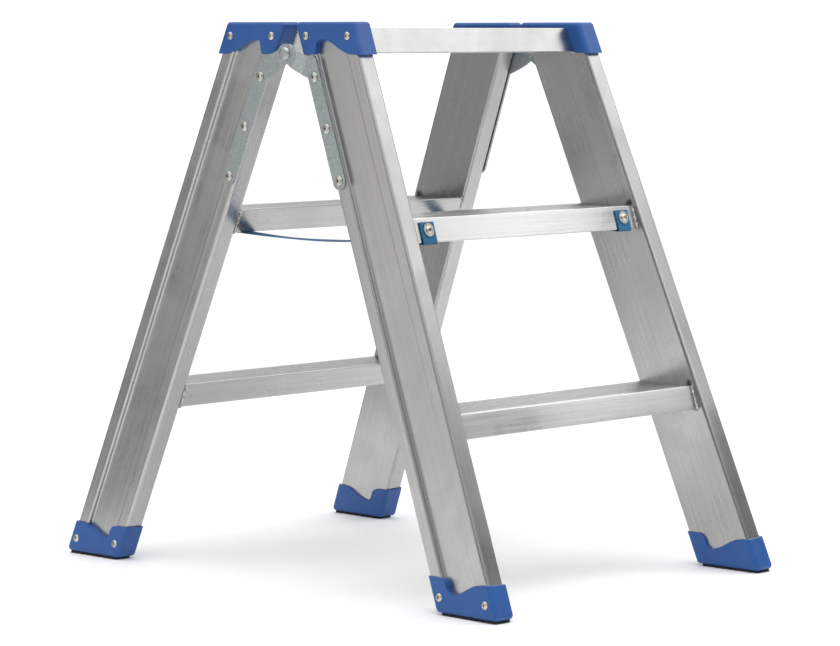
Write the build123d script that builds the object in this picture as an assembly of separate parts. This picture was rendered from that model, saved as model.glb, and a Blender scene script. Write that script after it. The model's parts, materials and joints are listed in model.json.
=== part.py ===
from build123d import *
import os
from math import cos, radians, sin, tan

# A double-sided folding step ladder: two identical three-tread frames, hinged at the top.
# Millimetres and degrees. X runs along the treads, Y from the front frame to the rear one,
# Z up. The origin is on the floor, under the middle of the ladder. Everything below is made
# for the front frame; the rear frame is the same one turned half a turn about Z.

# ---- driving dimensions: the whole ladder ----
TOTAL_HEIGHT = 703.0
RISE = 230.0                 # from tread to tread
FIRST_TREAD = 235.5          # the lower tread's top, above the floor
LEAN = 21.7                  # a frame's lean from the vertical when the ladder stands open
SPLAY = 3.0                  # how far each stile spreads outwards, in its frame's plane
HALF_WIDTH = 222.6           # from the middle to a stile's outer face, level with the pivot
PIVOT_HEIGHT = 663.5
PIVOT_OFFSET = 24.2          # from the pivot to a stile's inner edge, square to the stile

# ---- stiles: an extruded hollow section with a wide recess in its outer face ----
STILE_DEPTH = 89.2
STILE_THICK = 27.3
STILE_CORNER = 4.0
STILE_WALL = 2.0
RECESS_WIDTH = 50.0
RECESS_DEPTH = 5.5
RECESS_MOUTH_ROUND = 2.6
RECESS_FLOOR_ROUND = 2.0

# ---- treads: hollow boxes with fine grip ribs along the top ----
TREAD_SETBACK = 7.5          # from a stile's front edge back to the tread's front face
TOP_TREAD_SETBACK = 15.0
TREAD_HEIGHT = 30.0
TOP_TREAD_HEIGHT = 31.5
TREAD_FRONT_LEAN = 17.0
TREAD_WALL = 2.0
TREAD_CORNER = 1.2
RIB_PITCH = 3.0
RIB_WIDTH = 1.5
RIB_HEIGHT = 0.7
RIB_MARGIN = 5.0             # plain strip along each long edge of the top

# ---- plastic end sleeves: caps at the top and feet at the bottom ----
CAP_HEIGHT = 40.0
FOOT_HEIGHT = 41.0
SLEEVE_SIDE_WALL = 3.0       # on the stile's outer and inner faces
SLEEVE_BACK_WALL = 1.7       # on the stile's inner edge
CAP_FRONT_WALL = 5.5
FOOT_FRONT_WALL = 3.6
SLEEVE_END_WALL = 3.0
SLEEVE_CORNER = 6.0
SLEEVE_END_ROUND = 5.0
CAP_WAVE = [                 # the notch in a cap's outer face: inset, and depth below the top
    (15.0, 42.0), (19.5, 39.3), (21.8, 36.5), (25.3, 30.0), (27.3, 26.0), (31.5, 22.9),
    (40.0, 21.8), (48.0, 24.1), (55.3, 28.0), (64.0, 34.0), (74.0, 38.8), (88.0, 41.5)]
FOOT_WAVE = [                # a foot's upper edge on its outer face: inset, height above the pad
    (-20.0, 41.6), (8.0, 41.6), (20.8, 41.2), (25.0, 37.0), (25.5, 29.0), (27.5, 25.1),
    (31.3, 23.4), (38.5, 24.8), (47.5, 28.0), (58.0, 32.9), (65.4, 36.4), (72.0, 38.7),
    (82.5, 40.4), (94.0, 40.7), (112.0, 40.8)]
WAVE_STEPS = 4               # even; half as many arcs between two points of a wave
WAVE_REACH = 5.0

# ---- rubber pads under the feet ----
PAD_HEIGHT = 3.0
PAD_INSET = 6.0
PAD_SIDE_INSET = 3.0
PAD_GROOVE_DEPTH = 2.0
PAD_PITCH = 10.6
PAD_GROOVE_WIDTH = 3.2

# ---- hinge plates: pressed steel, a leg on the stile and a lobe to the pivot ----
PLATE_THICK = 3.0
LEG_WIDTH = 21.0
LEG_OVERHANG = 0.6           # the leg's edge stands past the stile's inner edge
LOBE_RADIUS = 12.5
LEG_BEND = -38.5             # below this level the leg follows the stile's splay
LOBE_TOP_ANGLE = 142.0       # where the upper and lower edges leave the round lobe
LOBE_LOW_ANGLE = -80.0
WAIST_TOP = (-22.4, -7.4)    # a point on the upper edge, from the pivot
WAIST_LOW = (-9.6, -28.2)    # a point on the lower edge
SHOULDER_LEVEL = -17.4
SHOULDER_ROUND = 7.0
SHOULDER_LENGTH = 9.1        # how far the shoulder's curve runs down the leg
SHOULDER_MIDDLE = (1.7, -3.2)
CROTCH_LEVEL = -41.5         # where the lower edge meets the leg
JOGGLE_INNER = 19.0          # the joggle is a sloping ring about the pivot, between two radii
JOGGLE_OUTER = 35.0
LOBE_GAP = 0.25              # running gap between the two lobes
HINGE_RIVET_DROP = 44.6      # the first hinge rivet, below the pivot along the stile
HINGE_RIVET_PITCH = 67.9
HINGE_RIVET_COUNT = 3
HINGE_RIVET_EDGE = 10.1      # from the stile's inner edge

# ---- pivot rivets ----
PIVOT_RADIUS = 5.0
PIVOT_CLEARANCE = 0.08
PIVOT_HEAD_RADIUS = 8.8
PIVOT_HEAD_HEIGHT = 4.6
PIVOT_HEAD_FLAT = 4.0        # radius of the flat on top of the dome
PIVOT_HEAD_RIM = 0.9
PIVOT_HEAD_CROWN = (7.2, 3.5)
PIVOT_TAIL_RADIUS = 7.8
PIVOT_TAIL_HEIGHT = 2.6

# ---- blind rivets ----
RIVET_HEAD_RADIUS = 6.2
RIVET_HEAD_HEIGHT = 2.4
SMALL_HEAD_RADIUS = 5.0
SMALL_HEAD_HEIGHT = 2.0
RIVET_RADIUS = 3.2
RIVET_HOLE_CLEARANCE = 0.05
RIVET_BULB_RADIUS = 4.4
RIVET_BULB_LENGTH = 4.0
MANDREL_RADIUS = 1.9
MANDREL_DEPTH = 1.6
LARGE_HEAD = (RIVET_HEAD_RADIUS, RIVET_HEAD_HEIGHT)
SMALL_HEAD = (SMALL_HEAD_RADIUS, SMALL_HEAD_HEIGHT)
HEAD_RIM = 0.3               # a head's straight rim, as a share of its height
HEAD_CROWN = 0.75            # a point on its dome, as a share of its radius and its height
BULB_STRAIGHT = 0.6          # the straight share of the blind end
CAP_RIVETS = [(12.5, TOTAL_HEIGHT - 17.7), (80.7, TOTAL_HEIGHT - 17.6)]
FOOT_RIVETS = [(10.5, PAD_HEIGHT + 18.3), (80.0, PAD_HEIGHT + 17.9)]

# ---- webbing straps between the two middle treads ----
STRAP_WIDTH = 25.0
STRAP_THICK = 1.8
STRAP_GAP = 0.3              # held clear of the treads
STRAP_CENTRE = 183.0         # from the middle of the ladder
STRAP_TAB_HEIGHT = 26.0
STRAP_SAG = 4.0
STRAP_FOLD = 2.3             # radius of its centre line round a tread's lower front corner
STRAP_REAR_BEND = 12.0       # where it leaves a tread's rear corner
STRAP_MIDDLE_BEND = 160.0
TAB_RIVET_HEIGHT = 15.0      # the tab's rivet, above the tread's lower front corner
WASHER_RADIUS = 8.5
WASHER_THICK = 1.2

# ---- worked out from the dimensions above ----
LEAN_COS = cos(radians(LEAN))
LEAN_SIN = sin(radians(LEAN))
LEAN_TAN = tan(radians(LEAN))
FAR = 2000.0                 # larger than the ladder, for cutting tools
NEAR = 500.0                 # beyond either side of the ladder, measured from its middle
STILE_REACH = 900.0
HAIR = 0.1                   # margin when picking vertices by where they are


# ---- placing ----
def leaned(shape):
    """An upright shape, made about the pivot, tilted into the front frame's lean."""
    return Pos(0, 0, PIVOT_HEIGHT) * Rot(-LEAN, 0, 0) * shape


def on_stile(shape):
    """A shape made in the left stile's own frame: X = 0 is its outer face, Z runs along it."""
    return leaned(Pos(-HALF_WIDTH, 0, 0) * Rot(0, SPLAY, 0) * shape)


def mirrored(shape):
    return mirror(shape, about=Plane.YZ)


def turned(shape):
    """The same piece on the rear frame."""
    return Rot(0, 0, 180) * shape


def layer(low, high):
    """Everything between two heights above the floor."""
    return Pos(0, 0, (low + high) / 2) * Box(FAR, FAR, high - low)


def side_point(inset, height):
    """A point in the YZ plane: inset is square to the stile, from its inner edge."""
    return (-(PIVOT_OFFSET + inset) / LEAN_COS - LEAN_TAN * (PIVOT_HEIGHT - height), height)


def along_stile(inset, height):
    """Where a point of the stile's outer face at a height lies in the stile's own frame."""
    upright = (height - PIVOT_HEIGHT - (PIVOT_OFFSET + inset) * LEAN_SIN) / LEAN_COS
    return (-(PIVOT_OFFSET + inset), upright / cos(radians(SPLAY)))


# ---- stiles ----
def stile_section():
    """The stile's outline in its own frame, filled."""
    recess = Pos(-STILE_THICK / 2, 0) * Rectangle(2 * RECESS_DEPTH, RECESS_WIDTH)
    section = RectangleRounded(STILE_THICK, STILE_DEPTH, STILE_CORNER) - recess
    inside_recess = section.vertices().filter_by(lambda v: abs(v.Y) < RECESS_WIDTH / 2 + HAIR)
    mouth = inside_recess.filter_by(lambda v: v.X < -STILE_THICK / 2 + RECESS_DEPTH / 2)
    section = fillet(mouth, RECESS_MOUTH_ROUND)
    inside_recess = section.vertices().filter_by(lambda v: abs(v.Y) < RECESS_WIDTH / 2 + HAIR)
    floor = inside_recess.filter_by(lambda v: v.X > -STILE_THICK / 2 + RECESS_DEPTH - HAIR)
    section = fillet(floor, RECESS_FLOOR_ROUND)
    return Pos(STILE_THICK / 2, -PIVOT_OFFSET - STILE_DEPTH / 2) * section


def long_prism(section):
    """A section run along the stile, longer than the ladder at both ends."""
    return extrude(Pos(0, 0, -STILE_REACH) * section, amount=STILE_REACH + TOTAL_HEIGHT)


def stile_body(section):
    low = PAD_HEIGHT + SLEEVE_END_WALL
    high = TOTAL_HEIGHT - SLEEVE_END_WALL
    return on_stile(long_prism(section)) & layer(low, high)


def stile(rivets):
    outline = stile_section()
    tube = stile_body(outline - offset(outline, amount=-STILE_WALL))
    for hole in rivets:
        tube -= hole
    return tube


# ---- treads ----
def tread_corners(top, height, setback, front_lean):
    """The tread's four corners in the YZ plane: rear top, front top, front and rear bottom."""
    rear_top = side_point(0, top)
    front_top = side_point(STILE_DEPTH - setback, top)
    front_bottom = (front_top[0] - height * tan(radians(front_lean)), top - height)
    rear_bottom = side_point(0, top - height)
    return [rear_top, front_top, front_bottom, rear_bottom]


def tread_section(corners):
    rear_top, front_top, front_bottom, rear_bottom = corners
    core = make_face(Polyline(*corners, close=True))
    edge_corners = core.vertices()
    hollow = offset(core, amount=-TREAD_WALL)
    centre_y = (rear_top[0] + front_bottom[0]) / 2
    web = Pos(centre_y, front_top[1]) * Rectangle(TREAD_WALL, FAR)
    section = fillet(edge_corners, TREAD_CORNER) - (hollow - web)
    groove_span = rear_top[0] - front_top[0] - 2 * RIB_MARGIN
    groove_count = int(groove_span / RIB_PITCH)
    for index in range(groove_count):
        across = rear_top[0] - RIB_MARGIN - RIB_PITCH * (index + 0.5)
        groove = Pos(across, front_top[1]) * Rectangle(RIB_PITCH - RIB_WIDTH, 2 * RIB_HEIGHT)
        section -= groove
    return section


def between_stiles():
    """The space between the two stiles' inner faces."""
    spread = tan(radians(SPLAY))
    inner = HALF_WIDTH - STILE_THICK / cos(radians(SPLAY))
    low = inner + spread * STILE_REACH
    high = inner - spread * STILE_REACH
    outline = [(-low, -STILE_REACH), (low, -STILE_REACH), (high, STILE_REACH), (-high, STILE_REACH)]
    face = Plane.XZ * make_face(Polyline(*outline, close=True))
    return leaned(extrude(face, amount=STILE_REACH, both=True))


def along_x(face, low, high):
    """A face drawn in the YZ plane, run from one X to another."""
    return Pos(low, 0, 0) * extrude(Plane.YZ * face, amount=high - low)


def tread(corners, rivets):
    plank = along_x(tread_section(corners), -NEAR, NEAR) & between_stiles()
    for hole in rivets:
        plank -= hole
    return plank


def below_tread(corners, drop, low_x):
    """The tread's filled outline and what lies just under it, from one X inwards."""
    rear_top, front_top, front_bottom, rear_bottom = corners
    outline = [
        rear_top, front_top, front_bottom,
        (front_bottom[0] - drop * LEAN_TAN, front_bottom[1] - drop),
        (rear_bottom[0] + STILE_THICK, rear_bottom[1] - drop),
        (rear_top[0] + STILE_THICK, rear_top[1]),
    ]
    return along_x(make_face(Polyline(*outline, close=True)), low_x, 0)


# ---- sleeves ----
def sleeve_form(front_wall, low, high):
    width = STILE_THICK + 2 * SLEEVE_SIDE_WALL
    depth = STILE_DEPTH + front_wall + SLEEVE_BACK_WALL
    centre = -PIVOT_OFFSET + SLEEVE_BACK_WALL - depth / 2
    outline = Pos(STILE_THICK / 2, centre) * RectangleRounded(width, depth, SLEEVE_CORNER)
    return on_stile(long_prism(outline)) & layer(low, high)


def smooth_edge(points):
    """A smooth chain of short arcs through the given points."""
    ahead = points[1:] + points[-1:]
    behind = points[:1] + points[:-1]
    slopes = [((a[0] - b[0]) / 2, (a[1] - b[1]) / 2) for a, b in zip(ahead, behind)]
    chain = [points[0]]
    for index in range(len(points) - 1):
        span = (points[index], slopes[index], points[index + 1], slopes[index + 1])
        for step in range(1, WAVE_STEPS + 1):
            chain.append(tuple(eased(*values, step / WAVE_STEPS) for values in zip(*span)))
    return [ThreePointArc(*chain[start:start + 3]) for start in range(0, len(chain) - 1, 2)]


def eased(start, start_slope, end, end_slope, share):
    """A value between two others that leaves and arrives with the given slopes."""
    rest = 1 - share
    leaving = start * (1 + 2 * share) + start_slope * share
    arriving = end * (1 + 2 * rest) - end_slope * rest
    return rest * rest * leaving + share * share * arriving


def beyond_wave(points, edge_height):
    """The face between a wavy edge, from points given as inset and height, and a height past it."""
    curve = [side_point(*point) for point in points]
    last = side_point(points[-1][0], edge_height)
    first = side_point(points[0][0], edge_height)
    return make_face(smooth_edge(curve) + [Polyline(curve[-1], last, first, curve[0])])


def cap(rivets, top_tread):
    """The sleeve on the upper end of a stile; only its inner wall makes room for the top tread."""
    low = TOTAL_HEIGHT - CAP_HEIGHT
    form = sleeve_form(CAP_FRONT_WALL, low, TOTAL_HEIGHT)
    form = fillet(form.faces().sort_by(Axis.Z)[-1].edges(), SLEEVE_END_ROUND)
    form -= stile_body(stile_section())
    inner_wall = -HALF_WIDTH + STILE_THICK - SLEEVE_SIDE_WALL
    form -= below_tread(top_tread, TOP_TREAD_SETBACK, inner_wall)
    points = [(inset, TOTAL_HEIGHT - drop) for inset, drop in CAP_WAVE]
    form -= along_x(beyond_wave(points, low - WAVE_REACH), -NEAR, -HALF_WIDTH + STILE_THICK / 2)
    for hole in rivets:
        form -= hole
    return largest(form)


def foot(rivets):
    """The sleeve on the lower end of a stile, its wavy upper edge cut square to the stile."""
    high = PAD_HEIGHT + FOOT_HEIGHT
    form = sleeve_form(FOOT_FRONT_WALL, PAD_HEIGHT, high + WAVE_REACH)
    form = fillet(form.faces().sort_by(Axis.Z)[0].edges(), SLEEVE_END_ROUND)
    form -= stile_body(stile_section())
    points = [(inset, PAD_HEIGHT + height) for inset, height in FOOT_WAVE]
    outer_face = -HALF_WIDTH - (PIVOT_HEIGHT - high) * tan(radians(SPLAY))
    wave = along_x(beyond_wave(points, high + 2 * WAVE_REACH), -NEAR - outer_face, -outer_face)
    form -= Pos(outer_face, 0, high) * Rot(0, SPLAY, 0) * Pos(0, 0, -high) * wave
    for hole in rivets:
        form -= hole
    return largest(form)


def largest(shape):
    return shape.solids().sort_by(SortBy.VOLUME)[-1]


def foot_pad():
    """The ribbed rubber sole that the foot stands on."""
    width = STILE_THICK + 2 * SLEEVE_SIDE_WALL - 2 * PAD_SIDE_INSET
    depth = STILE_DEPTH + FOOT_FRONT_WALL + SLEEVE_BACK_WALL - 2 * PAD_INSET
    centre = -PIVOT_OFFSET + SLEEVE_BACK_WALL - PAD_INSET - depth / 2
    outline = Pos(STILE_THICK / 2, centre) * RectangleRounded(width, depth, PAD_SIDE_INSET)
    pad = on_stile(long_prism(outline)) & layer(0, PAD_HEIGHT)
    box = pad.bounding_box()
    count = int((box.max.Y - box.min.Y) / PAD_PITCH)
    first = (box.max.Y + box.min.Y) / 2 - PAD_PITCH * (count - 1) / 2
    for index in range(count):
        groove = Box(FAR, PAD_GROOVE_WIDTH, 2 * PAD_GROOVE_DEPTH)
        pad -= Pos(0, first + PAD_PITCH * index, 0) * groove
    return pad


# ---- hinge plates ----
def plate_outline():
    """The plate's face about the pivot: a round lobe, a waist and a long leg with a round end."""
    inner = -PIVOT_OFFSET + LEG_OVERHANG
    outer = inner - LEG_WIDTH
    middle = (inner + outer) / 2
    end = -HINGE_RIVET_DROP - HINGE_RIVET_PITCH * (HINGE_RIVET_COUNT - 1)
    lobe_top = polar(LOBE_RADIUS, LOBE_TOP_ANGLE)
    lobe_side = polar(LOBE_RADIUS, (LOBE_TOP_ANGLE + LOBE_LOW_ANGLE) / 2)
    lobe_low = polar(LOBE_RADIUS, LOBE_LOW_ANGLE)
    shoulder = (outer + SHOULDER_ROUND, SHOULDER_LEVEL)
    shoulder_low = (outer, SHOULDER_LEVEL - SHOULDER_LENGTH)
    shoulder_middle = (outer + SHOULDER_MIDDLE[0], SHOULDER_LEVEL + SHOULDER_MIDDLE[1])
    crotch = (inner, CROTCH_LEVEL)
    edges = [
        ThreePointArc(lobe_low, lobe_side, lobe_top),
        ThreePointArc(lobe_top, WAIST_TOP, shoulder),
        ThreePointArc(shoulder, shoulder_middle, shoulder_low),
        Line(shoulder_low, (outer, end)),
        ThreePointArc((outer, end), (middle, end - LEG_WIDTH / 2), (inner, end)),
        Line((inner, end), crotch),
        ThreePointArc(crotch, WAIST_LOW, lobe_low),
    ]
    return make_face(edges)


def polar(radius, angle):
    return (radius * cos(radians(angle)), radius * sin(radians(angle)))


def hinge_plate(joggle, bore, rivets):
    """A plate cut from a bent sheet: the lobe square to the pivot, the leg along the stile.

    The joggle steps the lobe outwards, clear of the other frame's flat lobe.
    """
    face = -HALF_WIDTH + LEG_BEND * tan(radians(SPLAY))
    spread = STILE_REACH * tan(radians(SPLAY))
    leg = [(face, LEG_BEND), (face - PLATE_THICK, LEG_BEND),
           (face - PLATE_THICK - spread, LEG_BEND - STILE_REACH), (face - spread, LEG_BEND - STILE_REACH)]
    leg_face = Plane.XZ * make_face(Polyline(*leg, close=True))
    leg_sheet = extrude(leg_face, amount=NEAR, both=True)
    lobe = [(face - joggle, 0), (face - joggle, JOGGLE_INNER), (face, JOGGLE_OUTER),
            (face, STILE_DEPTH)]
    outside = [(x - PLATE_THICK, radius) for x, radius in reversed(lobe)]
    lobe_face = make_face(Polyline(*lobe, *outside, close=True))
    lobe_sheet = revolve(lobe_face, Axis.X) & layer(LEG_BEND, STILE_DEPTH)
    outline = along_x(plate_outline(), -NEAR, 0)
    plate = (leg_sheet & outline) + (lobe_sheet & outline)
    plate -= Rot(0, 90, 0) * Cylinder(bore, FAR)
    plate = leaned(plate)
    for hole in rivets:
        plate -= hole
    return plate


# ---- fasteners ----
def blind_rivet(head_radius, head_height, grip, hole=False):
    """A pulled rivet along Z with its head's underside at Z = 0; or the hole that it needs."""
    if hole:
        return Cylinder(RIVET_RADIUS + RIVET_HOLE_CLEARANCE, 2 * (grip + 1))
    rim = head_height * HEAD_RIM
    crown = (head_radius * HEAD_CROWN, head_height * HEAD_CROWN)
    bulb_end = -grip - RIVET_BULB_LENGTH * BULB_STRAIGHT
    profile = [
        Line((MANDREL_RADIUS, head_height - MANDREL_DEPTH), (MANDREL_RADIUS, head_height)),
        ThreePointArc((MANDREL_RADIUS, head_height), crown, (head_radius, rim)),
        Polyline((head_radius, rim), (head_radius, 0), (RIVET_RADIUS, 0), (RIVET_RADIUS, -grip),
                 (RIVET_BULB_RADIUS, -grip), (RIVET_BULB_RADIUS, bulb_end),
                 (RIVET_RADIUS, -grip - RIVET_BULB_LENGTH), (0, -grip - RIVET_BULB_LENGTH),
                 (0, head_height - MANDREL_DEPTH), (MANDREL_RADIUS, head_height - MANDREL_DEPTH)),
    ]
    return revolve(Plane.XZ * make_face(profile), Axis.Z)


def side_rivet(place, proud, head, grip, hole=False):
    """A rivet driven into the left stile's outer face, its head resting proud of that face."""
    across, along = place
    return on_stile(Pos(-proud, across, along) * Rot(0, -90, 0) * blind_rivet(*head, grip, hole))


def hinge_rivets(hole=False):
    rivets = []
    for index in range(HINGE_RIVET_COUNT):
        drop = HINGE_RIVET_DROP + HINGE_RIVET_PITCH * index
        place = (-(PIVOT_OFFSET + HINGE_RIVET_EDGE), -drop)
        rivets.append(side_rivet(place, PLATE_THICK, LARGE_HEAD, PLATE_THICK + STILE_WALL, hole))
    return rivets


def sleeve_rivets(places, hole=False):
    grip = SLEEVE_SIDE_WALL + STILE_WALL
    return [side_rivet(along_stile(*place), SLEEVE_SIDE_WALL, SMALL_HEAD, grip, hole) for place in places]


def pivot_rivet(bore_face, outer_face):
    """The pin through both lobes: a domed head outside and a flat formed head inside."""
    rim = (PIVOT_HEAD_RADIUS, PIVOT_HEAD_RIM)
    flat = (PIVOT_HEAD_FLAT, PIVOT_HEAD_HEIGHT)
    head = [
        Polyline((0, 0), (PIVOT_HEAD_RADIUS, 0), rim),
        ThreePointArc(rim, PIVOT_HEAD_CROWN, flat),
        Polyline(flat, (0, PIVOT_HEAD_HEIGHT), (0, 0)),
    ]
    grip = outer_face - bore_face + LOBE_GAP
    pin = revolve(Plane.XZ * make_face(head), Axis.Z)
    pin += Pos(0, 0, -grip / 2) * Cylinder(PIVOT_RADIUS, grip)
    tail = Pos(0, 0, -grip - PIVOT_TAIL_HEIGHT / 2) * Cylinder(PIVOT_TAIL_RADIUS, PIVOT_TAIL_HEIGHT)
    pin += chamfer(tail.edges().group_by(Axis.Z)[0], PIVOT_TAIL_HEIGHT / 3)
    return Pos(-outer_face, 0, PIVOT_HEIGHT) * Rot(0, -90, 0) * pin


# ---- straps ----
def strap_path(corners):
    """The strap's line under one middle tread, from the top of its tab to the middle of the span."""
    rear_top, front_top, front_bottom, rear_bottom = corners
    clear = STRAP_GAP + STRAP_THICK / 2
    slope = tan(radians(TREAD_FRONT_LEAN))
    face_clear = clear / cos(radians(TREAD_FRONT_LEAN))
    tab_top = front_bottom[1] + STRAP_TAB_HEIGHT
    return [
        (front_bottom[0] + slope * STRAP_TAB_HEIGHT - face_clear, tab_top),
        (front_bottom[0] - slope * clear - face_clear, front_bottom[1] - clear),
        (rear_bottom[0] + clear, rear_bottom[1] - clear),
        (0, rear_bottom[1] - clear - STRAP_SAG),
    ]


def strap(corners, centre_x, rivet_holes):
    """One strap: a tab on each middle tread's face, and the span between the two frames."""
    half = strap_path(corners)
    other = [(-y, z) for y, z in reversed(half[:-1])]
    bends = [STRAP_FOLD, STRAP_REAR_BEND, STRAP_MIDDLE_BEND, STRAP_REAR_BEND, STRAP_FOLD]
    line = FilletPolyline(*half, *other, radius=bends)
    face = trace(line, STRAP_THICK)
    band = along_x(face, centre_x - STRAP_WIDTH / 2, centre_x + STRAP_WIDTH / 2)
    for hole in rivet_holes:
        band -= hole
        band -= turned(hole)
    return band


def on_tread_face(corners, centre_x, proud, shape):
    """A shape made along Z, placed on the middle tread's front face with Z pointing out of it."""
    front_bottom = corners[2]
    slope = tan(radians(TREAD_FRONT_LEAN))
    face_y = front_bottom[0] + slope * TAB_RIVET_HEIGHT
    place = Pos(centre_x, face_y, front_bottom[1] + TAB_RIVET_HEIGHT)
    return place * Rot(90 - TREAD_FRONT_LEAN, 0, 0) * Pos(0, 0, proud) * shape


def strap_fasteners(corners):
    """The washers, the rivets and the rivets' holes on one frame's middle tread."""
    surface = 2 * STRAP_GAP + STRAP_THICK
    grip = surface + WASHER_THICK + TREAD_WALL
    washers = []
    rivets = []
    holes = []
    for centre_x in (-STRAP_CENTRE, STRAP_CENTRE):
        ring = Cylinder(WASHER_RADIUS, WASHER_THICK) - Cylinder(RIVET_RADIUS + RIVET_HOLE_CLEARANCE, FAR)
        washers.append(on_tread_face(corners, centre_x, surface + WASHER_THICK / 2, ring))
        rivet = blind_rivet(*SMALL_HEAD, grip)
        rivets.append(on_tread_face(corners, centre_x, surface + WASHER_THICK, rivet))
        hole = blind_rivet(*SMALL_HEAD, grip, hole=True)
        holes.append(on_tread_face(corners, centre_x, surface + WASHER_THICK, hole))
    return washers, rivets, holes


# ---- the whole ladder ----
def frame_pieces(middle, washers, strap_rivets, strap_holes):
    """Every piece of the front frame, by name."""
    lower = tread_corners(FIRST_TREAD, TREAD_HEIGHT, TREAD_SETBACK, TREAD_FRONT_LEAN)
    top = tread_corners(FIRST_TREAD + 2 * RISE, TOP_TREAD_HEIGHT, TOP_TREAD_SETBACK, LEAN)
    leg_holes = hinge_rivets(hole=True)
    cap_holes = sleeve_rivets(CAP_RIVETS, hole=True)
    foot_holes = sleeve_rivets(FOOT_RIVETS, hole=True)
    left_stile = stile(leg_holes + cap_holes + foot_holes)
    left_cap = cap(cap_holes, top)
    left_foot = foot(foot_holes)
    left_pad = foot_pad()
    joggled = hinge_plate(PLATE_THICK + LOBE_GAP, PIVOT_RADIUS, leg_holes)
    flat = hinge_plate(0.0, PIVOT_RADIUS + PIVOT_CLEARANCE, leg_holes)
    return {
        "left_stile": left_stile,
        "right_stile": mirrored(left_stile),
        "lower_tread": tread(lower, []),
        "middle_tread": tread(middle, strap_holes),
        "top_tread": tread(top, []),
        "left_cap": left_cap,
        "right_cap": mirrored(left_cap),
        "left_foot": left_foot,
        "right_foot": mirrored(left_foot),
        "left_foot_pad": left_pad,
        "right_foot_pad": mirrored(left_pad),
        "left_hinge_plate": joggled,
        "right_hinge_plate": mirrored(flat),
        "hinge_rivets": both_sides(hinge_rivets()),
        "cap_rivets": both_sides(sleeve_rivets(CAP_RIVETS)),
        "foot_rivets": both_sides(sleeve_rivets(FOOT_RIVETS)),
        "strap_washers": Compound(children=washers),
        "strap_rivets": Compound(children=strap_rivets),
    }


def both_sides(shapes):
    return Compound(children=shapes + [mirrored(shape) for shape in shapes])


def main():
    os.makedirs("parts", exist_ok=True)
    middle = tread_corners(FIRST_TREAD + RISE, TREAD_HEIGHT, TREAD_SETBACK, TREAD_FRONT_LEAN)
    washers, strap_rivets, strap_holes = strap_fasteners(middle)
    pieces = frame_pieces(middle, washers, strap_rivets, strap_holes)
    swapped = {"left": "right", "right": "left"}
    for name, piece in pieces.items():
        export_step(piece, f"parts/front_{name}.step")
        side, _, rest = name.partition("_")
        rear_name = f"{swapped[side]}_{rest}" if side in swapped else name
        export_step(turned(piece), f"parts/rear_{rear_name}.step")
    lobe_face = HALF_WIDTH - LEG_BEND * tan(radians(SPLAY))
    pin = pivot_rivet(lobe_face, lobe_face + 2 * PLATE_THICK + LOBE_GAP)
    export_step(pin, "parts/left_pivot_rivet.step")
    export_step(turned(pin), "parts/right_pivot_rivet.step")
    export_step(strap(middle, -STRAP_CENTRE, strap_holes), "parts/left_strap.step")
    export_step(strap(middle, STRAP_CENTRE, strap_holes), "parts/right_strap.step")


main()
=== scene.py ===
import json
import math
import random

import bpy
from mathutils import Euler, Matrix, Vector, noise


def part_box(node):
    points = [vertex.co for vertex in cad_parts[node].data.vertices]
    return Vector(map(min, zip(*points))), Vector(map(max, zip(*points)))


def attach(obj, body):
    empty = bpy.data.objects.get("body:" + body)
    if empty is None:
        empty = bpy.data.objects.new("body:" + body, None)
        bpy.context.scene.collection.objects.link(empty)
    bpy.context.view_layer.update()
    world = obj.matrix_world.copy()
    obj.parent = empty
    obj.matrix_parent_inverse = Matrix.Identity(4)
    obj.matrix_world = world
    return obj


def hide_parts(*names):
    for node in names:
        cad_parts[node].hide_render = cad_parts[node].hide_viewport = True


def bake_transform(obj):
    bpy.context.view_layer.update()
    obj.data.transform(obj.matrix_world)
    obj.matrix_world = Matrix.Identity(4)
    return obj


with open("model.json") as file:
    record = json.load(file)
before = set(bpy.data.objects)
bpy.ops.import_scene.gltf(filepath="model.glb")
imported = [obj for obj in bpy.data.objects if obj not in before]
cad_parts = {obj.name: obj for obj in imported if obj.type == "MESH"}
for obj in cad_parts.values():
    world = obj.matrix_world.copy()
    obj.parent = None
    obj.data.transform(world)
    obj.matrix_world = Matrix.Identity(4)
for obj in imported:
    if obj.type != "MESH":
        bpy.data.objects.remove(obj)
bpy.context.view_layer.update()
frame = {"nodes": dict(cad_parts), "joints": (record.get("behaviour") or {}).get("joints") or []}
NODES = frame["nodes"]
FOLD = frame["joints"][0]

# ---- sizes, in metres and radians, as the frame has them ----
PIVOT = Vector(FOLD["pos_m"])
LEAN = math.radians(21.7)
SPLAY = math.radians(3.0)
TREAD_FRONT_LEAN = math.radians(17.0)
HALF_WIDTH = 0.2226
STILE_THICK = 0.0273
MM = 0.001
SPAN_HALF = 0.112               # half of the straps' free span
VIEW_AHEAD = (0.7233, 0.6905)   # the camera's direction on the floor
VIEW_ASIDE = (0.6905, -0.7233)  # the picture's right on the floor

# ---- colours that several materials share ----
# painted shade, darkening the insides of rivets' mandrel holes
HOLLOW_SHADE = (0.03, 0.03, 0.028, 1)
SOOT = (0.035, 0.03, 0.027, 1)


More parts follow.
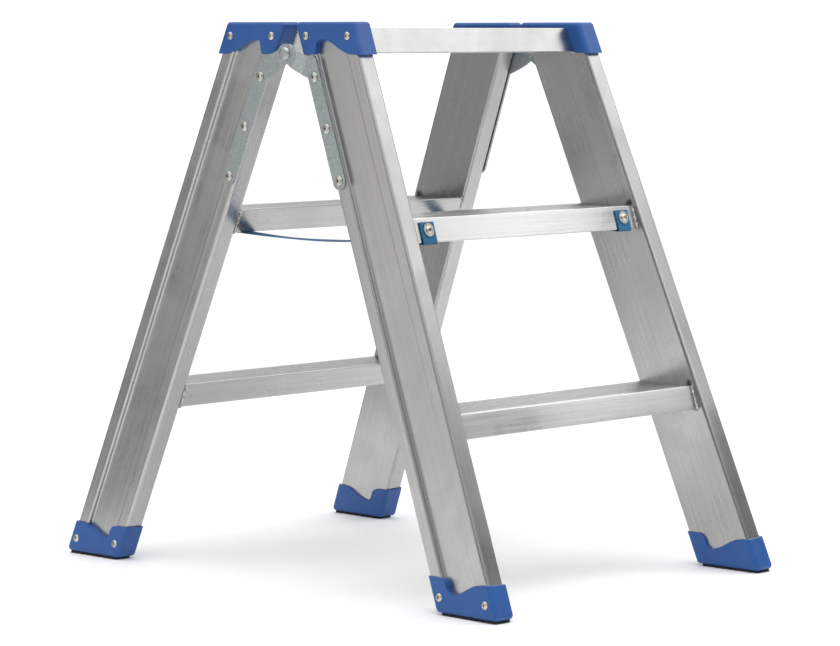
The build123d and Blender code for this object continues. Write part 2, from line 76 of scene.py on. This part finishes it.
# ---- node trees ----
class Tree:
    """A few words for building a material's or the world's nodes."""

    def __init__(self, tree):
        self.nodes = tree.nodes
        self.links = tree.links

    def add(self, kind, inputs=None, **settings):
        node = self.nodes.new(kind)
        for key, value in settings.items():
            setattr(node, key, value)
        for key, value in (inputs or {}).items():
            self.feed(node.inputs[key], value)
        return node

    def feed(self, socket, value):
        if isinstance(value, bpy.types.NodeSocket):
            self.links.new(value, socket)
        else:
            socket.default_value = value

    def math(self, operation, a, b=0.0, clamp=False):
        return self.add("ShaderNodeMath", {0: a, 1: b}, operation=operation, use_clamp=clamp).outputs[0]

    def remap(self, value, low, high, to_low, to_high, smooth=False):
        kind = "SMOOTHSTEP" if smooth else "LINEAR"
        inputs = {"Value": value, "From Min": low, "From Max": high, "To Min": to_low, "To Max": to_high}
        return self.add("ShaderNodeMapRange", inputs, interpolation_type=kind).outputs[0]

    def mix(self, factor, a, b):
        node = self.add("ShaderNodeMix", data_type="RGBA")
        self.feed(node.inputs[0], factor)
        self.feed(node.inputs[6], a)
        self.feed(node.inputs[7], b)
        return node.outputs[2]

    def noise(self, vector, scale, detail, roughness, distortion=0.0):
        inputs = {"Vector": vector, "Scale": scale, "Detail": detail, "Roughness": roughness,
                  "Distortion": distortion}
        return self.add("ShaderNodeTexNoise", inputs).outputs[0]

    def mapped(self, vector, rotation=(0, 0, 0), scale=(1, 1, 1)):
        inputs = {"Vector": vector, "Rotation": rotation, "Scale": scale}
        return self.add("ShaderNodeMapping", inputs).outputs[0]

    def measure(self, operation, a, b):
        """A number from two vectors: their distance or their dot product."""
        return self.add("ShaderNodeVectorMath", {0: a, 1: b}, operation=operation).outputs["Value"]

    def bump(self, height, strength, distance, normal=None):
        inputs = {"Height": height, "Strength": strength, "Distance": distance}
        if normal is not None:
            inputs["Normal"] = normal
        return self.add("ShaderNodeBump", inputs).outputs[0]


def material(name, **inputs):
    """A new material with a Principled shader, the shader's sockets set, and its object coordinates."""
    made = bpy.data.materials.new(name)
    made.use_nodes = True
    tree = Tree(made.node_tree)
    shader = made.node_tree.nodes["Principled BSDF"]
    for socket, value in inputs.items():
        shader.inputs[socket.replace("_", " ")].default_value = value
    place = tree.add("ShaderNodeTexCoord").outputs["Object"]
    return made, tree, shader, place


def grey(value, warm=0.0):
    """A grey, slightly red for a positive warm and slightly blue for a negative one."""
    return (value + warm, value, value - warm, 1.0)


# ---- materials ----
def extruded_aluminium(name, turn, tone, along, soot=(), streaks=1.0):
    """Mill-finish aluminium: die lines along the extrusion, handling marks and cloudy oxide.

    turn brings the extrusion's own axes onto X, Y, Z, and along says which of them it runs in.
    tone is the metal's grey, which for the treads also carries painted light and shade; soot lists
    scorched places, and streaks scales the lines' contrast.
    """
    made, tree, shader, place = material(name, Metallic=1.0, Anisotropic=0.55, Anisotropic_Rotation=0.25)
    axis = [0.0, 0.0, 0.0]
    axis[along] = 1.0
    axis = Euler(turn).to_matrix().transposed() @ Vector(axis)
    lengthwise = tree.add("ShaderNodeVectorTransform", {"Vector": tuple(axis)}, vector_type="VECTOR",
                          convert_from="OBJECT", convert_to="WORLD").outputs[0]
    tree.feed(shader.inputs["Tangent"], lengthwise)
    own = tree.mapped(place, rotation=turn)
    stretch = [1.0, 1.0, 1.0]
    stretch[along] = 0.012      # draws a noise out into lines along the extrusion
    run = tree.mapped(own, scale=stretch)
    fine = tree.noise(run, 1400.0, 4.0, 0.6)
    broad = tree.noise(run, 230.0, 3.0, 0.5)
    bands = tree.noise(run, 60.0, 2.0, 0.5)
    clouds = tree.noise(own, 11.0, 4.0, 0.62, 0.6)
    stains = tree.noise(own, 42.0, 5.0, 0.7, 1.1)
    lines = tree.math("ADD", tree.math("MULTIPLY", fine, 0.45), tree.math("MULTIPLY", broad, 0.55))
    streak = tree.remap(lines, 0.35, 0.65, 0.0, 1.0)
    dark = grey(tone * (1.0 - 0.10 * streaks), 0.002)
    light = grey(min(tone * (1.0 + 0.07 * streaks), 0.95), 0.001)
    colour = tree.mix(streak, dark, light)
    colour = tree.mix(tree.remap(bands, 0.4, 0.62, 0.0, 0.35), colour, grey(tone * 0.93, -0.004))
    colour = tree.mix(tree.remap(clouds, 0.45, 0.75, 0.0, 0.22), colour, grey(tone * 0.90, 0.006))
    speck = tree.remap(stains, 0.68, 0.80, 0.0, 0.03, smooth=True)
    colour = tree.mix(speck, colour, grey(tone * 0.62, 0.01))
    rough = tree.remap(lines, 0.3, 0.7, 0.25, 0.36)
    rough = tree.math("ADD", rough, tree.remap(clouds, 0.4, 0.7, -0.04, 0.08))
    for spot in soot:
        away = tree.measure("DISTANCE", place, spot)
        wobble = tree.math("ADD", away, tree.remap(stains, 0.3, 0.7, -3.5 * MM, 3.5 * MM))
        near = tree.remap(wobble, 1.5 * MM, 7.5 * MM, 0.85, 0.0, smooth=True)
        colour = tree.mix(near, colour, SOOT)
        rough = tree.math("ADD", rough, tree.math("MULTIPLY", near, 0.3), clamp=True)
    tree.feed(shader.inputs["Base Color"], colour)
    tree.feed(shader.inputs["Roughness"], rough)
    surface = tree.bump(lines, 0.035 * streaks, 0.3 * MM)
    surface = tree.bump(clouds, 0.05, 1.0 * MM, surface)
    tree.feed(shader.inputs["Normal"], surface)
    return made


def blue_plastic():
    """Moulded polypropylene with a fine grain and a few light scuffs."""
    deep, light, scuffed = (0.012, 0.078, 0.290, 1), (0.015, 0.090, 0.325, 1), (0.060, 0.15, 0.37, 1)
    made, tree, shader, place = material("blue plastic", Metallic=0.0, IOR=1.49)
    grain = tree.noise(place, 2600.0, 3.0, 0.6)
    cloudy = tree.noise(place, 34.0, 4.0, 0.6)
    askew = tree.mapped(place, rotation=(0.4, 0.2, 0.7), scale=(1, 5, 1))
    scuffs = tree.noise(askew, 260.0, 5.0, 0.72)
    colour = tree.mix(tree.remap(cloudy, 0.35, 0.65, 0.0, 1.0), deep, light)
    colour = tree.mix(tree.remap(scuffs, 0.66, 0.80, 0.0, 0.30), colour, scuffed)
    tree.feed(shader.inputs["Base Color"], colour)
    rough = tree.remap(tree.math("ADD", grain, scuffs), 0.7, 1.3, 0.34, 0.50)
    tree.feed(shader.inputs["Roughness"], rough)
    surface = tree.bump(grain, 0.16, 0.2 * MM)
    tree.feed(shader.inputs["Normal"], tree.bump(cloudy, 0.25, 0.6 * MM, surface))
    return made


def black_rubber():
    """Dull moulded rubber with patches of dust."""
    black, dusty = (0.010, 0.010, 0.011, 1), (0.055, 0.052, 0.048, 1)
    made, tree, shader, place = material("black rubber", Metallic=0.0)
    grain = tree.noise(place, 1500.0, 4.0, 0.65)
    dust = tree.noise(place, 90.0, 5.0, 0.7)
    colour = tree.mix(tree.remap(dust, 0.5, 0.8, 0.0, 0.6), black, dusty)
    tree.feed(shader.inputs["Base Color"], colour)
    tree.feed(shader.inputs["Roughness"], tree.remap(grain, 0.3, 0.7, 0.68, 0.88))
    tree.feed(shader.inputs["Normal"], tree.bump(grain, 0.4, 0.4 * MM))
    return made


def galvanised_steel():
    """Zinc spangle: small soft-edged crystals, each a little lighter or darker."""
    dark, light, stained = (0.33, 0.37, 0.375, 1), (0.46, 0.505, 0.51, 1), (0.35, 0.385, 0.385, 1)
    made, tree, shader, place = material("galvanised steel", Metallic=1.0)
    warp = tree.noise(place, 160.0, 3.0, 0.6)
    push = tree.math("MULTIPLY", warp, 2.2 * MM)
    shift = tree.add("ShaderNodeCombineXYZ", {0: push, 1: push, 2: push}).outputs[0]
    bent = tree.add("ShaderNodeVectorMath", {0: place, 1: shift}, operation="ADD").outputs[0]
    cells = tree.add("ShaderNodeTexVoronoi", {"Vector": bent, "Scale": 520.0, "Randomness": 1.0})
    crystal = tree.add("ShaderNodeSeparateColor", {0: cells.outputs["Color"]}).outputs[0]
    soft = tree.noise(place, 420.0, 5.0, 0.65)
    cloudy = tree.noise(place, 45.0, 4.0, 0.6)
    tone = tree.math("ADD", tree.math("MULTIPLY", crystal, 0.30), tree.math("MULTIPLY", soft, 0.70))
    colour = tree.mix(tree.remap(tone, 0.35, 0.68, 0.0, 1.0), dark, light)
    colour = tree.mix(tree.remap(cloudy, 0.45, 0.75, 0.0, 0.4), colour, stained)
    tree.feed(shader.inputs["Base Color"], colour)
    tree.feed(shader.inputs["Roughness"], tree.remap(tone, 0.3, 0.7, 0.50, 0.40))
    surface = tree.bump(soft, 0.18, 0.5 * MM)
    tree.feed(shader.inputs["Normal"], tree.bump(crystal, 0.10, 0.3 * MM, surface))
    return made


def plated_steel(name, light, dark, rough, hollow_shade=0.0):
    """Worn plating; its last argument paints shade into what lies in a recess, such as a rivet's mandrel
    hole.
    """
    made, tree, shader, place = material(name, Metallic=1.0)
    worn = tree.noise(place, 700.0, 5.0, 0.65)
    patches = tree.noise(place, 150.0, 3.0, 0.6)
    blend = tree.math("ADD", tree.math("MULTIPLY", worn, 0.5), tree.math("MULTIPLY", patches, 0.5))
    colour = tree.mix(tree.remap(blend, 0.4, 0.62, 0.0, 1.0), light, dark)
    if hollow_shade:
        # painted shade: ambient occlusion darkens the colour inside recesses such as mandrel holes
        openness = tree.add("ShaderNodeAmbientOcclusion", {"Distance": 2.2 * MM}, samples=8)
        deep = tree.remap(openness.outputs["AO"], 0.35, 0.75, hollow_shade, 0.0, smooth=True)
        colour = tree.mix(deep, colour, HOLLOW_SHADE)
    tree.feed(shader.inputs["Base Color"], colour)
    tree.feed(shader.inputs["Roughness"], tree.remap(worn, 0.3, 0.7, rough, rough + 0.16))
    tree.feed(shader.inputs["Normal"], tree.bump(worn, 0.15, 0.3 * MM))
    return made


def weld_metal():
    """Bright weld bead with burnt patches and spatter."""
    bright, burnt = (0.68, 0.67, 0.65, 1), (0.26, 0.24, 0.22, 1)
    made, tree, shader, place = material("weld metal", Metallic=1.0)
    spatter = tree.noise(place, 900.0, 4.0, 0.7)
    burn = tree.noise(place, 210.0, 4.0, 0.7)
    colour = tree.mix(tree.remap(burn, 0.42, 0.62, 0.0, 1.0), bright, burnt)
    tree.feed(shader.inputs["Base Color"], colour)
    tree.feed(shader.inputs["Roughness"], tree.remap(spatter, 0.3, 0.7, 0.28, 0.55))
    tree.feed(shader.inputs["Normal"], tree.bump(spatter, 0.5, 0.6 * MM))
    return made


def webbing():
    """Herringbone polyester webbing: U runs across the band and V along it, both in metres."""
    dark, light, worn = (0.003, 0.055, 0.140, 1), (0.013, 0.175, 0.360, 1), (0.008, 0.115, 0.265, 1)
    herringbone, rib, yarn_pitch = 3.1 * MM, 1.5 * MM, 1.05 * MM
    made, tree, shader, place = material("blue webbing", Metallic=0.0, Sheen_Weight=0.08,
                                         Sheen_Roughness=0.4)
    band = tree.add("ShaderNodeUVMap", uv_map="band").outputs[0]
    parts = tree.add("ShaderNodeSeparateXYZ", {0: band})
    across, along = parts.outputs[0], parts.outputs[1]
    wedge = tree.math("PINGPONG", across, herringbone)
    diagonal = tree.math("ADD", along, wedge)
    ridge = tree.math("SINE", tree.math("MULTIPLY", diagonal, 2 * math.pi / rib))
    yarn = tree.math("SINE", tree.math("MULTIPLY", across, 2 * math.pi / yarn_pitch))
    weave = tree.math("ADD", tree.math("MULTIPLY", ridge, 0.5), tree.math("MULTIPLY", yarn, 0.5))
    fuzz = tree.noise(place, 1700.0, 4.0, 0.7)
    cloudy = tree.noise(place, 120.0, 3.0, 0.6)
    shade = tree.remap(tree.math("ADD", weave, tree.math("MULTIPLY", fuzz, 0.8)), -0.8, 1.5, 0.0, 1.0)
    colour = tree.mix(shade, dark, light)
    colour = tree.mix(tree.remap(cloudy, 0.4, 0.7, 0.0, 0.35), colour, worn)
    tree.feed(shader.inputs["Base Color"], colour)
    tree.feed(shader.inputs["Roughness"], tree.remap(fuzz, 0.3, 0.7, 0.62, 0.85))
    tree.feed(shader.inputs["Normal"], tree.bump(weave, 0.55, 0.35 * MM))
    return made


def paint(node, made):
    """Gives every slot of a CAD node one material."""
    mesh = NODES[node].data
    if not mesh.materials:
        mesh.materials.append(made)
    for index in range(len(mesh.materials)):
        mesh.materials[index] = made


# ---- places on the frames ----
def frame_turn(end):
    """-1 for the front frame and 1 for the rear one."""
    return 1 if end == "rear" else -1


def tread_outline(end, level):
    """The tread's four corners as (y, z): rear top, front top, front bottom, rear bottom."""
    low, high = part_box(f"{end}_{level}_tread")
    turn = frame_turn(end)
    lean = LEAN if level == "top" else TREAD_FRONT_LEAN
    height = high[2] - low[2]
    front = high[1] if turn > 0 else low[1]
    rear = low[1] if turn > 0 else high[1]
    return [(rear, high[2]), (front - turn * height * math.tan(lean), high[2]), (front, low[2]),
            (rear + turn * height * math.tan(LEAN), low[2])]


def stile_face(end, side, y, z):
    """The X of a stile's inner face at a place on it."""
    turn = frame_turn(end)
    along = -turn * y * math.sin(LEAN) + (z - PIVOT.z) * math.cos(LEAN)
    return side * (HALF_WIDTH - STILE_THICK / math.cos(SPLAY) - along * math.tan(SPLAY))


def mesh_object(name, verts, faces, made, smooth=True):
    """A mesh in the scene with one material."""
    mesh = bpy.data.meshes.new(name)
    mesh.from_pydata([tuple(v) for v in verts], [], faces)
    mesh.update()
    for polygon in mesh.polygons:
        polygon.use_smooth = smooth
    mesh.materials.append(made)
    piece = bpy.data.objects.new(name, mesh)
    bpy.context.scene.collection.objects.link(piece)
    return piece


# ---- weld beads ----
def bead(points, radius, seed, rings=14):
    """A lumpy weld run along a path, as vertices and faces."""
    draw = random.Random(seed)
    shift = Vector((draw.uniform(0, 50), draw.uniform(0, 50), draw.uniform(0, 50)))
    step, ripple = 0.45 * MM, 2.4 * MM
    end_size, end_samples = 0.35, 5.0           # how thin the run starts and how soon it is full
    lumpiness, lump_scale = 0.42, 620.0
    samples = []
    for start, end in zip(points, points[1:]):
        span = (end - start).length
        count = max(2, round(span / step))
        samples += [start.lerp(end, index / count) for index in range(count)]
    samples.append(points[-1])
    verts = []
    travelled = 0.0
    for index, point in enumerate(samples):
        ahead = samples[min(index + 1, len(samples) - 1)]
        behind = samples[max(index - 1, 0)]
        forward = (ahead - behind).normalized()
        side = forward.cross(Vector((1, 0, 0))).normalized()
        out = side.cross(forward).normalized()
        phase = (travelled / ripple) % 1.0
        lump = 0.82 + 0.26 * math.sqrt(1.0 - (2 * phase - 1) ** 2)
        taper = min(1.0, end_size + min(index, len(samples) - 1 - index) / end_samples)
        for ring in range(rings):
            angle = 2 * math.pi * ring / rings
            direction = side * math.cos(angle) + out * math.sin(angle)
            rough = 1.0 + lumpiness * noise.noise((point + direction * radius) * lump_scale + shift)
            verts.append(point + direction * radius * lump * taper * rough)
        travelled += step
    faces = []
    for index in range(len(samples) - 1):
        for ring in range(rings):
            after = (ring + 1) % rings
            base = index * rings
            faces.append((base + ring, base + after, base + rings + after, base + rings + ring))
    last = (len(samples) - 1) * rings
    faces.append(tuple(reversed(range(rings))))
    faces.append(tuple(range(last, last + rings)))
    return verts, faces


def weld(end, level, side, made, seed):
    """The two runs that join one end of a tread to its stile: down the front and up the back."""
    outline = tread_outline(end, level)
    turn = frame_turn(end)
    rear_top, front_top, front_bottom, rear_bottom = outline
    reach = 7.0 * MM
    sunk = 0.3 * MM
    radii = (1.9 * MM, 1.7 * MM)
    runs = [
        [front_top, front_bottom, (front_bottom[0] - turn * reach, front_bottom[1])],
        [rear_top, rear_bottom, (rear_bottom[0] + turn * reach, rear_bottom[1])],
    ]
    verts = []
    faces = []
    for number, run in enumerate(runs):
        points = [Vector((stile_face(end, side, y, z) - side * sunk, y, z)) for y, z in run]
        more, more_faces = bead(points, radii[number], seed * 2 + number)
        faces += [tuple(index + len(verts) for index in face) for face in more_faces]
        verts += more
    word = "left" if side < 0 else "right"
    piece = mesh_object(f"{end}_{level}_{word}_weld", verts, faces, made)
    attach(piece, f"{end}_frame")


# ---- straps ----
def strap_line():
    """The front half of the strap's line in the YZ plane, from its hidden end to the middle."""
    _, _, front_bottom, rear_bottom = tread_outline("front", "middle")
    face = Vector((math.sin(TREAD_FRONT_LEAN), math.cos(TREAD_FRONT_LEAN)))
    out = Vector((-face.y, face.x))
    foot = Vector(front_bottom)
    inner, outer = 0.85 * MM, 1.85 * MM     # the tab's two layers, from the tread's face
    top = 25.0 * MM
    fold = (outer - inner) / 2
    line = [foot + face * height * MM + out * inner for height in range(5, 25)]
    centre = foot + face * top + out * (inner + fold)
    for step in range(7):
        angle = math.pi * step / 6
        line.append(centre - out * fold * math.cos(angle) + face * fold * math.sin(angle))
    line += [foot + face * (24 - height) * MM + out * outer for height in range(24)]
    below = Vector((0.0, -1.0))
    corner_steps, tread_steps, span_steps = 8, 40, 60
    turn = math.pi / 2 + TREAD_FRONT_LEAN
    for step in range(1, corner_steps + 1):
        angle = turn * step / corner_steps
        line.append(foot + out * outer * math.cos(angle) - face * outer * math.sin(angle))
    rear = Vector(rear_bottom)
    for step in range(1, tread_steps):
        share = step / tread_steps
        drop = outer + (inner - outer) * min(1.0, share * 6)
        line.append(foot.lerp(rear, share) + below * drop)
    last = line[-1]
    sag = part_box("left_strap")[0][2] + 0.9 * MM
    for step in range(1, span_steps + 1):
        share = step / span_steps
        depth = last.y + (sag - last.y) * (1 - (1 - share) ** 2)
        line.append(Vector((last.x * (1 - share), depth)))
    return line


def strap(side, made):
    """A webbing band from one middle tread to the other, doubled over under each washer."""
    word = "left" if side < 0 else "right"
    low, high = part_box(f"{word}_strap")
    centre_x = (low[0] + high[0]) / 2
    half_width = (high[0] - low[0]) / 2
    half = strap_line()
    line = half + [Vector((-point.x, point.y)) for point in reversed(half[:-1])]
    thick = 0.44 * MM           # half of the band's own
    across = 14
    selvedge = 0.97
    most_twist = 0.05
    edge_wander, wander_scale = 0.012, 210.0
    rim = []
    for index in range(across + 1):
        offset = -1 + 2 * index / across
        rim.append((offset, thick * (1.0 if abs(offset) < selvedge else 0.55)))
    profile = rim + [(offset, -depth) for offset, depth in reversed(rim)]
    verts = []
    travelled = 0.0
    lengths = []
    for index, point in enumerate(line):
        ahead = line[min(index + 1, len(line) - 1)]
        behind = line[max(index - 1, 0)]
        along = (ahead - behind).normalized()
        normal = Vector((-along.y, along.x))
        if index:
            travelled += (point - line[index - 1]).length
        lengths.append(travelled)
        free = max(0.0, 1.0 - abs(point.x) / SPAN_HALF)
        twist = side * most_twist * math.sin(math.pi * point.x / SPAN_HALF) * free ** 0.5
        spot = Vector((travelled * wander_scale, side * 3.0, 0.5))
        ragged = 1.0 + edge_wander * noise.noise(spot)
        for offset, depth in profile:
            sway = half_width * offset * ragged
            place = point + normal * depth
            level, tilt = sway * math.cos(twist), sway * math.sin(twist)
            verts.append(Vector((centre_x + level, place.x, place.y + tilt)))
    size = len(profile)
    faces = []
    for index in range(len(line) - 1):
        for ring in range(size):
            after = (ring + 1) % size
            base = index * size
            faces.append((base + ring, base + size + ring, base + size + after, base + after))
    last = (len(line) - 1) * size
    faces.append(tuple(range(size)))
    faces.append(tuple(reversed(range(last, last + size))))
    piece = mesh_object(f"{word}_webbing_strap", verts, faces, made)
    layer = piece.data.uv_layers.new(name="band")
    for loop in piece.data.loops:
        row, ring = divmod(loop.vertex_index, size)
        layer.data[loop.index].uv = (half_width * (1 + profile[ring][0]), lengths[row])
    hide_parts(f"{word}_strap")
    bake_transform(piece)


# ---- the stage ----
def floor():
    """A pale floor with painted shade to the left and right of the ladder, so that only a wedge along
    the camera's view stays pale, like a pool of light.
    """
    count, reach = 96, 14.0
    pale_start, pale_spread = 4.2, 0.134    # half its width, as a share of the way from its start
    fade = 0.8
    # painted shade: greys for the floor beyond the pale wedge, darker on the left
    left_painted_shade, right_painted_shade = grey(0.36), grey(0.66)
    verts = []
    for index in range(count):
        angle = 2 * math.pi * index / count
        verts.append(Vector((reach * math.cos(angle), reach * math.sin(angle), 0.0)))
    made, tree, shader, place = material("studio floor", Metallic=0.0, Roughness=0.8)
    # the pale wedge along the view is a painted pool of light; outside it the colour falls to painted
    # shade
    depth = tree.measure("DOT_PRODUCT", place, (*VIEW_AHEAD, 0.0))
    across = tree.measure("DOT_PRODUCT", place, (*VIEW_ASIDE, 0.0))
    way = tree.math("ADD", tree.math("ABSOLUTE", depth), pale_start)
    pale_half = tree.math("MULTIPLY", way, pale_spread)
    outside = tree.math("SUBTRACT", tree.math("ABSOLUTE", across), pale_half)
    painted_shade_mask = tree.remap(outside, 0.0, fade, 0.0, 1.0, smooth=True)
    side = tree.remap(across, -0.5, 0.5, 0.0, 1.0)
    edge = tree.mix(side, left_painted_shade, right_painted_shade)
    mottle = tree.noise(place, 3.0, 3.0, 0.5)
    pale = tree.mix(mottle, grey(0.90), grey(0.92))
    tree.feed(shader.inputs["Base Color"], tree.mix(painted_shade_mask, pale, edge))
    disc = mesh_object("studio_floor", verts, [tuple(range(count))], made, smooth=False)


def studio_world():
    """A white ceiling and far wall, a light strip at the near left, and darker walls elsewhere."""
    strip_towards = (-0.955, 0.296, 0.0)
    dim_rest = 0.20
    world = bpy.data.worlds.new("studio")
    bpy.context.scene.world = world
    world.use_nodes = True
    tree = Tree(world.node_tree)
    direction = tree.add("ShaderNodeTexCoord").outputs["Generated"]
    height = tree.add("ShaderNodeSeparateXYZ", {0: direction}).outputs[2]
    ceiling = tree.remap(height, 0.28, 0.80, 0.0, 1.30, smooth=True)
    far_wall = Vector((*VIEW_AHEAD, 0.05)).normalized()
    facing = tree.measure("DOT_PRODUCT", direction, tuple(far_wall))
    wall = tree.remap(facing, 0.72, 0.95, 0.0, 1.0, smooth=True)
    strip = tree.measure("DOT_PRODUCT", direction, strip_towards)
    near_left = tree.remap(strip, 0.93, 0.99, 0.0, 0.9, smooth=True)
    light = tree.math("ADD", tree.math("ADD", ceiling, wall), tree.math("ADD", near_left, dim_rest))
    background = world.node_tree.nodes["Background"]
    tree.feed(background.inputs["Color"], (1.0, 1.0, 1.0, 1.0))
    tree.feed(background.inputs["Strength"], light)


def area_light(name, towards, distance, size, radiance, colour=(1, 1, 1), target=(0, 0, 0.35)):
    """A softbox that looks as bright as radiance says, at a distance from its target."""
    target = Vector(target)
    aim = Vector(towards).normalized()
    data = bpy.data.lights.new(name, "AREA")
    data.shape = "RECTANGLE"
    data.size, data.size_y = size
    data.energy = radiance * math.pi * size[0] * size[1]
    data.color = colour
    lamp = bpy.data.objects.new(name, data)
    lamp.location = target + aim * distance
    lamp.rotation_euler = (-aim).to_track_quat("-Z", "Y").to_euler()
    lamp.visible_camera = False
    bpy.context.scene.collection.objects.link(lamp)


def camera():
    """The photograph's viewpoint, as fitted to the ladder's straight edges."""
    data = bpy.data.cameras.new("camera")
    data.sensor_width = 36.0
    data.lens = 138.43
    data.clip_end = 100.0
    eye = bpy.data.objects.new("camera", data)
    eye.location = (-3.0203, -2.8939, 0.6906)
    eye.rotation_euler = (math.radians(90 - 5.152), 0.0, math.radians(-46.332))
    bpy.context.scene.collection.objects.link(eye)
    bpy.context.scene.camera = eye


# ---- the whole scene ----
def stile_turn(end, side):
    """The turn that brings a stile's own axes upright."""
    return (LEAN if end == "front" else -LEAN, SPLAY if side == "right" else -SPLAY, 0.0)


def soot_spots(end, side):
    """Where the welder's heat has darkened a stile: at each tread's upper front corner."""
    sign = -1 if side == "left" else 1
    spots = []
    for level in ("lower", "middle"):
        y, z = tread_outline(end, level)[1]
        back = -frame_turn(end) * 3.5 * MM
        spots.append((stile_face(end, sign, y, z), y + back, z + 2.5 * MM))
    return spots


def dress_frame():
    """Gives every CAD node its material."""
    plastic = blue_plastic()
    rubber = black_rubber()
    zinc = galvanised_steel()
    # each rivet steel's last number is how much shade is painted into its mandrel holes
    rivet = plated_steel("rivet steel", (0.74, 0.71, 0.66, 1), (0.40, 0.38, 0.34, 1), 0.24, 0.6)
    pulled = plated_steel("hinge rivet steel", (0.66, 0.64, 0.60, 1), (0.38, 0.37, 0.34, 1), 0.28, 0.95)
    washer = plated_steel("washer steel", (0.62, 0.58, 0.53, 1), (0.36, 0.33, 0.29, 1), 0.32)
    pivot = plated_steel("pivot steel", (0.50, 0.53, 0.53, 1), (0.33, 0.35, 0.35, 1), 0.34)
    for end in ("front", "rear"):
        for side in ("left", "right"):
            made = extruded_aluminium(f"{end} {side} stile aluminium", stile_turn(end, side), 0.47, 2,
                                      soot_spots(end, side))
            paint(f"{end}_{side}_stile", made)
    planks_painted_lit_and_shaded = {}
    # painted light and shade: the treads are one aluminium, but the front treads get a lighter grey and
    # the rear and top treads darker greys
    for place, tone in (("front", 0.62), ("rear", 0.50), ("top", 0.48)):
        planks_painted_lit_and_shaded[place] = extruded_aluminium(f"{place} tread aluminium with painted shading", (0, 0, 0), tone, 0, streaks=1.2)
    for node in NODES:
        if node.endswith("_tread"):
            end, level, _ = node.split("_")
            paint(node, planks_painted_lit_and_shaded["top" if level == "top" else end])
        elif node.endswith(("_cap", "_foot")):
            paint(node, plastic)
        elif node.endswith("_foot_pad"):
            paint(node, rubber)
        elif node.endswith("_hinge_plate"):
            paint(node, zinc)
        elif node.endswith("_pivot_rivet"):
            paint(node, pivot)
        elif node.endswith("_hinge_rivets"):
            paint(node, pulled)
        elif node.endswith("_rivets"):
            paint(node, rivet)
        elif node.endswith("_washers"):
            paint(node, washer)


def add_welds():
    """A weld at both ends of all six treads."""
    made = weld_metal()
    seed = 0
    for end in ("front", "rear"):
        for level in ("lower", "middle", "top"):
            for side in (-1, 1):
                seed += 1
                weld(end, level, side, made, seed)


dress_frame()
add_welds()
band = webbing()
for side in (-1, 1):
    strap(side, band)
floor()
studio_world()
area_light("key", (0.82, -0.44, 0.69), 4.2, (2.8, 2.0), 1.45)
area_light("top", (-0.2, -0.3, 1.0), 3.6, (2.4, 2.4), 1.6)
area_light("side card", (-0.69, 0.72, 0.0), 0.75, (0.42, 1.0), 0.62, (1.0, 0.985, 0.95),
           target=(-0.25, -0.24, 0.46))
area_light("tread card", (0.78, -0.54, 0.30), 0.52, (0.24, 0.42), 0.85,
           target=(-0.07, -0.21, 0.34))
camera()
bpy.context.scene.view_settings.view_transform = "Standard"
